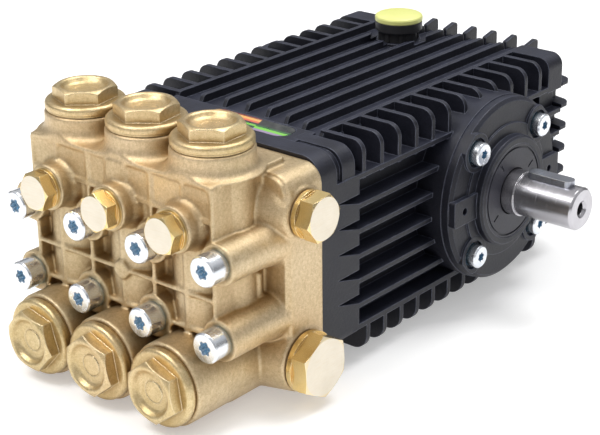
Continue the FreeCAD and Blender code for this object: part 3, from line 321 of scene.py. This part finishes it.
def mat_powder(name, tint=1.0):
    """Blue-black coat over a casting: orange peel, dusty mottling, painted lighter tone on the upward faces, painted
    grey-blue highlight along the edges.
    """
    m, nt, b = new_mat(name)
    g = G(nt)
    edge, bv = g.edge(0.0008, 6, 0.010, 0.15)
    peel = g.noise(620.0, 2.0, 0.5)
    grit = g.noise(2600.0, 2.0, 0.6)
    dust = g.noise(55.0, 5.0, 0.62)
    edge_highlight_noise = g.noise(240.0, 4.0, 0.6)
    speck = g.voronoi(420.0)
    col = g.mix(g.maprange(dust, 0.35, 0.70, 0.0, 1.0), (0.0052 * tint, 0.0056 * tint, 0.0100 * tint), (0.0105 * tint, 0.0110 * tint, 0.0185 * tint))
    # painted light: faces turned upward get a lighter blue tone, as if lit from above, mottled by the dust noise
    geo = nt.nodes.new("ShaderNodeNewGeometry")
    nz = g.sep(geo.outputs["Normal"])[2]
    top_light_paint = g.math("MULTIPLY", g.maprange(nz, 0.45, 0.95, 0.0, 1.0), g.maprange(dust, 0.30, 0.62, 0.35, 1.0))
    col = g.mix(top_light_paint, col, (0.0250 * tint, 0.0275 * tint, 0.0450 * tint))
    col = g.mix(g.maprange(grit, 0.52, 0.80, 0.0, 0.50), col, (0.050, 0.056, 0.082))
    col = g.mix(g.maprange(speck, 0.03, 0.09, 0.35, 0.0), col, (0.075, 0.080, 0.110))
    # painted grey-blue highlight along the edges, mottled by noise
    edge_highlight_paint = g.math("MULTIPLY", edge, g.maprange(edge_highlight_noise, 0.30, 0.70, 0.25, 0.90))
    col = g.mix(edge_highlight_paint, col, (0.165, 0.182, 0.255))
    nt.links.new(col, b.inputs["Base Color"])
    b.inputs["Metallic"].default_value = 0.0
    b.inputs["Specular IOR Level"].default_value = 0.40
    r = g.maprange(dust, 0.3, 0.7, 0.40, 0.52)
    r = g.math("SUBTRACT", r, g.math("MULTIPLY", edge, 0.08))
    nt.links.new(r, b.inputs["Roughness"])
    n1 = g.bump(peel, 0.26, 0.0005, bv)
    n2 = g.bump(grit, 0.26, 0.0002, n1)
    nt.links.new(n2, b.inputs["Normal"])
    return m


def mat_plain(name, base, alt, rough=0.5, metallic=0.0, scale=300.0, bump=0.12, bdist=0.0003, edge_highlight_col=None, edge_highlight_amt=0.3, spec=0.5, coat=0.0):
    m, nt, b = new_mat(name)
    g = G(nt)
    edge, bv = g.edge(0.0004, 6, 0.02, 0.22)
    blot = g.noise(scale * 0.25, 4.0, 0.6)
    fine = g.noise(scale * 4.0, 3.0, 0.6)
    col = g.mix(g.maprange(blot, 0.3, 0.7, 0.0, 1.0), base, alt)
    # painted highlight along the edges in the given colour
    if edge_highlight_col:
        col = g.mix(g.math("MULTIPLY", edge, edge_highlight_amt), col, edge_highlight_col)
    nt.links.new(col, b.inputs["Base Color"])
    b.inputs["Metallic"].default_value = metallic
    b.inputs["Specular IOR Level"].default_value = spec
    b.inputs["Coat Weight"].default_value = coat
    r = g.maprange(fine, 0.3, 0.7, max(0.02, rough - 0.06), rough + 0.07)
    nt.links.new(r, b.inputs["Roughness"])
    nt.links.new(g.bump(fine, bump, bdist, bv), b.inputs["Normal"])
    return m


def mat_shaft(name):
    """Ground steel: very fine rings round the shaft."""
    m, nt, b = new_mat(name)
    g = G(nt)
    edge, bv = g.edge(0.0006, 6, 0.02, 0.25)
    x, y, z = g.sep()
    v = g.comb(g.math("MULTIPLY", x, 2600.0), g.math("MULTIPLY", y, 30.0), g.math("MULTIPLY", z, 30.0))
    rings = g.noise(1.0, 3.0, 0.6, vec=v)
    blot = g.noise(120.0, 4.0, 0.6)
    col = g.mix(g.maprange(rings, 0.3, 0.7, 0.0, 0.5), (0.50, 0.49, 0.52), (0.62, 0.61, 0.64))
    col = g.mix(g.maprange(blot, 0.45, 0.75, 0.0, 0.35), col, (0.36, 0.34, 0.36))
    # painted shade: ambient occlusion darkens the recesses
    col = g.mix(g.maprange(g.ao(0.006, 8), 0.3, 0.9, 0.7, 0.0), col, (0.10, 0.10, 0.12))
    # painted highlight along the edges
    col = g.mix(g.math("MULTIPLY", edge, 0.6), col, (0.88, 0.88, 0.90))
    nt.links.new(col, b.inputs["Base Color"])
    b.inputs["Metallic"].default_value = 0.95
    b.inputs["Anisotropic"].default_value = 0.30
    r = g.maprange(rings, 0.3, 0.7, 0.20, 0.28)
    nt.links.new(r, b.inputs["Roughness"])
    nt.links.new(g.bump(rings, 0.05, 0.00006, bv), b.inputs["Normal"])
    return m


def mat_label(name):
    """Printed strip: plain coloured bands, no wording. The bands run along the strip, with warm colours at the rear."""
    m, nt, b = new_mat(name)
    g = G(nt)
    x, y, z = g.sep()
    # 0 at the front edge of the strip, 1 at its rear edge
    t = g.maprange(y, -0.0853, -0.0705, 0.0, 1.0)

    def bands(stops):
        n = nt.nodes.new("ShaderNodeValToRGB")
        nt.links.new(t, n.inputs[0])
        n.color_ramp.interpolation = "CONSTANT"
        els = n.color_ramp.elements
        while len(els) < len(stops):
            els.new(0.5)
        for e, (p, c) in zip(els, stops):
            e.position = p
            e.color = (*c, 1.0)
        return n.outputs[0]

    warm = bands([(0.0, (0.33, 0.25, 0.40)), (0.14, (0.02, 0.06, 0.03)), (0.30, (0.20, 0.55, 0.06)), (0.44, (0.02, 0.03, 0.03)),
                  (0.58, (0.75, 0.12, 0.07)), (0.72, (0.86, 0.45, 0.12)), (0.90, (0.22, 0.03, 0.02))])
    cool = bands([(0.0, (0.33, 0.25, 0.40)), (0.16, (0.20, 0.62, 0.06)), (0.34, (0.02, 0.12, 0.03)), (0.48, (0.015, 0.02, 0.02))])
    slant = g.math("ADD", x, g.math("MULTIPLY", y, 0.35))
    col = g.mix(g.maprange(slant, -0.0102, -0.0100, 0.0, 1.0), warm, cool)
    fade = g.noise(180.0, 3.0, 0.6)
    col = g.mix(g.maprange(fade, 0.4, 0.8, 0.0, 0.22), col, (0.35, 0.34, 0.33))
    nt.links.new(col, b.inputs["Base Color"])
    r = g.maprange(fade, 0.3, 0.7, 0.24, 0.38)
    nt.links.new(r, b.inputs["Roughness"])
    b.inputs["Coat Weight"].default_value = 0.3
    nt.links.new(g.bump(g.noise(900.0), 0.05, 0.0001), b.inputs["Normal"])
    return m


M = {
    "cast_crankcase": mat_powder("cast_crankcase"),
    "cast_brass": mat_cast_brass("cast_brass", (0.755, 0.625, 0.415), (0.665, 0.53, 0.325), (0.335, 0.215, 0.085), 0.44),
    "cap_brass": mat_cast_brass("cap_brass", (0.79, 0.645, 0.385), (0.69, 0.54, 0.28), (0.335, 0.215, 0.060), 0.36, 0.7, 0.65),
    "plug_brass": mat_plug("plug_brass"),
    "zinc_steel": mat_zinc("zinc_steel"),
    "bearing_steel": mat_machined("bearing_steel", (0.66, 0.67, 0.69), (0.58, 0.59, 0.60), 0.20, "x", dark=(0.12, 0.12, 0.13)),
    "shaft_steel": mat_shaft("shaft_steel"),
    "key_steel": mat_machined("key_steel", (0.50, 0.52, 0.58), (0.40, 0.42, 0.47), 0.32, "x", dark=(0.12, 0.12, 0.15)),
    "rod_alloy": mat_plain("rod_alloy", (0.58, 0.59, 0.60), (0.66, 0.67, 0.69), 0.42, 0.9, 200.0, 0.2, 0.0003, (0.8, 0.8, 0.82)),
    "crosshead_steel": mat_machined("crosshead_steel", (0.58, 0.58, 0.59), (0.50, 0.50, 0.52), 0.28, "y", dark=(0.12, 0.12, 0.13)),
    "ceramic": mat_plain("ceramic", (0.86, 0.85, 0.80), (0.90, 0.89, 0.86), 0.12, 0.0, 120.0, 0.02, 0.0001, None, 0, 0.6, 0.3),
    "valve_steel": mat_machined("valve_steel", (0.64, 0.65, 0.67), (0.57, 0.58, 0.60), 0.26, "z", dark=(0.14, 0.14, 0.15)),
    "seal_rubber": mat_plain("seal_rubber", (0.016, 0.016, 0.024), (0.030, 0.030, 0.044), 0.48, 0.0, 260.0, 0.25, 0.0003, (0.14, 0.14, 0.17), 0.5),
    "gasket": mat_plain("gasket", (0.06, 0.07, 0.06), (0.10, 0.11, 0.10), 0.75, 0.0, 300.0, 0.4, 0.0003),
    "spacer_brass": mat_machined("spacer_brass", (0.83, 0.67, 0.38), (0.76, 0.60, 0.32), 0.28, "y"),
    "washer": mat_plain("washer", (0.62, 0.50, 0.30), (0.52, 0.42, 0.26), 0.40, 0.9, 300.0, 0.15, 0.0002),
    "label": mat_label("label"),
    "cap_plastic": mat_plain("cap_plastic", (0.016, 0.016, 0.018), (0.028, 0.028, 0.031), 0.38, 0.0, 300.0, 0.18, 0.0003, (0.12, 0.12, 0.14), 0.5),
    "cap_button": mat_plain("cap_button", (0.74, 0.76, 0.22), (0.82, 0.84, 0.32), 0.34, 0.0, 160.0, 0.10, 0.0003, (0.92, 0.95, 0.35), 0.4, 0.5, 0.15),
}
# sight glass: oil behind a clear disc
m, nt, b = new_mat("sight_glass")
g = G(nt)
lvl = g.noise(60.0, 2.0)
x, y, z = g.sep()
oil = g.maprange(g.math("ADD", z, g.math("MULTIPLY", lvl, 0.002)), 0.0745, 0.0760, 1.0, 0.0)
nt.links.new(g.mix(oil, (0.30, 0.29, 0.25), (0.42, 0.21, 0.03)), b.inputs["Base Color"])
b.inputs["Coat Weight"].default_value = 1.0
b.inputs["Coat Roughness"].default_value = 0.05
nt.links.new(g.maprange(lvl, 0.3, 0.7, 0.10, 0.18), b.inputs["Roughness"])
M["sight_glass"] = m

slot_of = {s["node"]: s["material_slot"] for s in frame["record"]["subparts"]}
for name, ob in NODES.items():
    mat = M[slot_of[name]]
    if not ob.material_slots:
        ob.data.materials.append(mat)
    for sl in ob.material_slots:
        sl.material = mat


def cast_skin(name, voxel, passes):
    """Rounds a casting's edges and inner corners with modifiers on its own mesh."""
    ob = NODES[name]
    r = ob.modifiers.new("skin", "REMESH")
    r.mode = "VOXEL"
    r.voxel_size = voxel
    r.adaptivity = 0.0
    r.use_smooth_shade = True
    sm = ob.modifiers.new("soften", "SMOOTH")
    sm.factor = 0.5
    sm.iterations = passes


cast_skin("manifold_head", 0.00068, 5)


# ---------------------------------------------------------------- stage ----
def area(name, loc, target, size, power, color=(1, 1, 1), size_y=None):
    d = bpy.data.lights.new(name, "AREA")
    d.energy = power
    d.color = color
    d.size = size
    if size_y:
        d.shape = "RECTANGLE"
        d.size_y = size_y
    o = bpy.data.objects.new(name, d)
    bpy.context.scene.collection.objects.link(o)
    o.location = loc
    o.rotation_euler = (Vector(target) - Vector(loc)).to_track_quat("-Z", "Y").to_euler()
    return o


bpy.ops.mesh.primitive_plane_add(size=12.0, location=(0, 0, -0.0002))
floor = bpy.context.object
floor.name = "floor"
m, nt, b = new_mat("floor")
g = G(nt)
nt.links.new(g.mix(g.maprange(g.noise(3.0, 3.0), 0.3, 0.7, 0.0, 1.0), (0.80, 0.80, 0.80), (0.83, 0.83, 0.83)), b.inputs["Base Color"])
b.inputs["Roughness"].default_value = 0.9
b.inputs["Specular IOR Level"].default_value = 0.1
b.inputs["Emission Color"].default_value = (1.0, 1.0, 1.0, 1.0)
b.inputs["Emission Strength"].default_value = 0.36
floor.data.materials.append(m)

world = bpy.data.worlds.new("world")
bpy.context.scene.world = world
world.use_nodes = True
bg = world.node_tree.nodes.get("Background") or world.node_tree.nodes.new("ShaderNodeBackground")
# softbox overhead, darker towards the horizon
wt = world.node_tree
tc = wt.nodes.new("ShaderNodeTexCoord")
sp = wt.nodes.new("ShaderNodeSeparateXYZ")
wt.links.new(tc.outputs["Generated"], sp.inputs[0])
wr = wt.nodes.new("ShaderNodeValToRGB")
wt.links.new(sp.outputs[2], wr.inputs[0])
for e, (p, c) in zip([wr.color_ramp.elements[0], wr.color_ramp.elements[1], wr.color_ramp.elements.new(0.25), wr.color_ramp.elements.new(0.55)],
                     ((0.0, 0.30), (1.0, 1.0), (0.25, 0.34), (0.55, 0.95))):
    e.position = p
    e.color = (c, c, c * 1.01, 1.0)
wt.links.new(wr.outputs[0], bg.inputs[0])
bg.inputs[1].default_value = 0.62

T = (0.0, 0.0, 0.06)
area("key", (-0.35, -0.9, 1.6), T, 0.7, 16.0, (1.0, 0.99, 0.97))
area("top", (0.3, 0.5, 1.7), T, 0.8, 15.0)
area("fill_right", (1.6, -1.0, 0.8), T, 0.8, 0.8, (0.97, 0.98, 1.0))
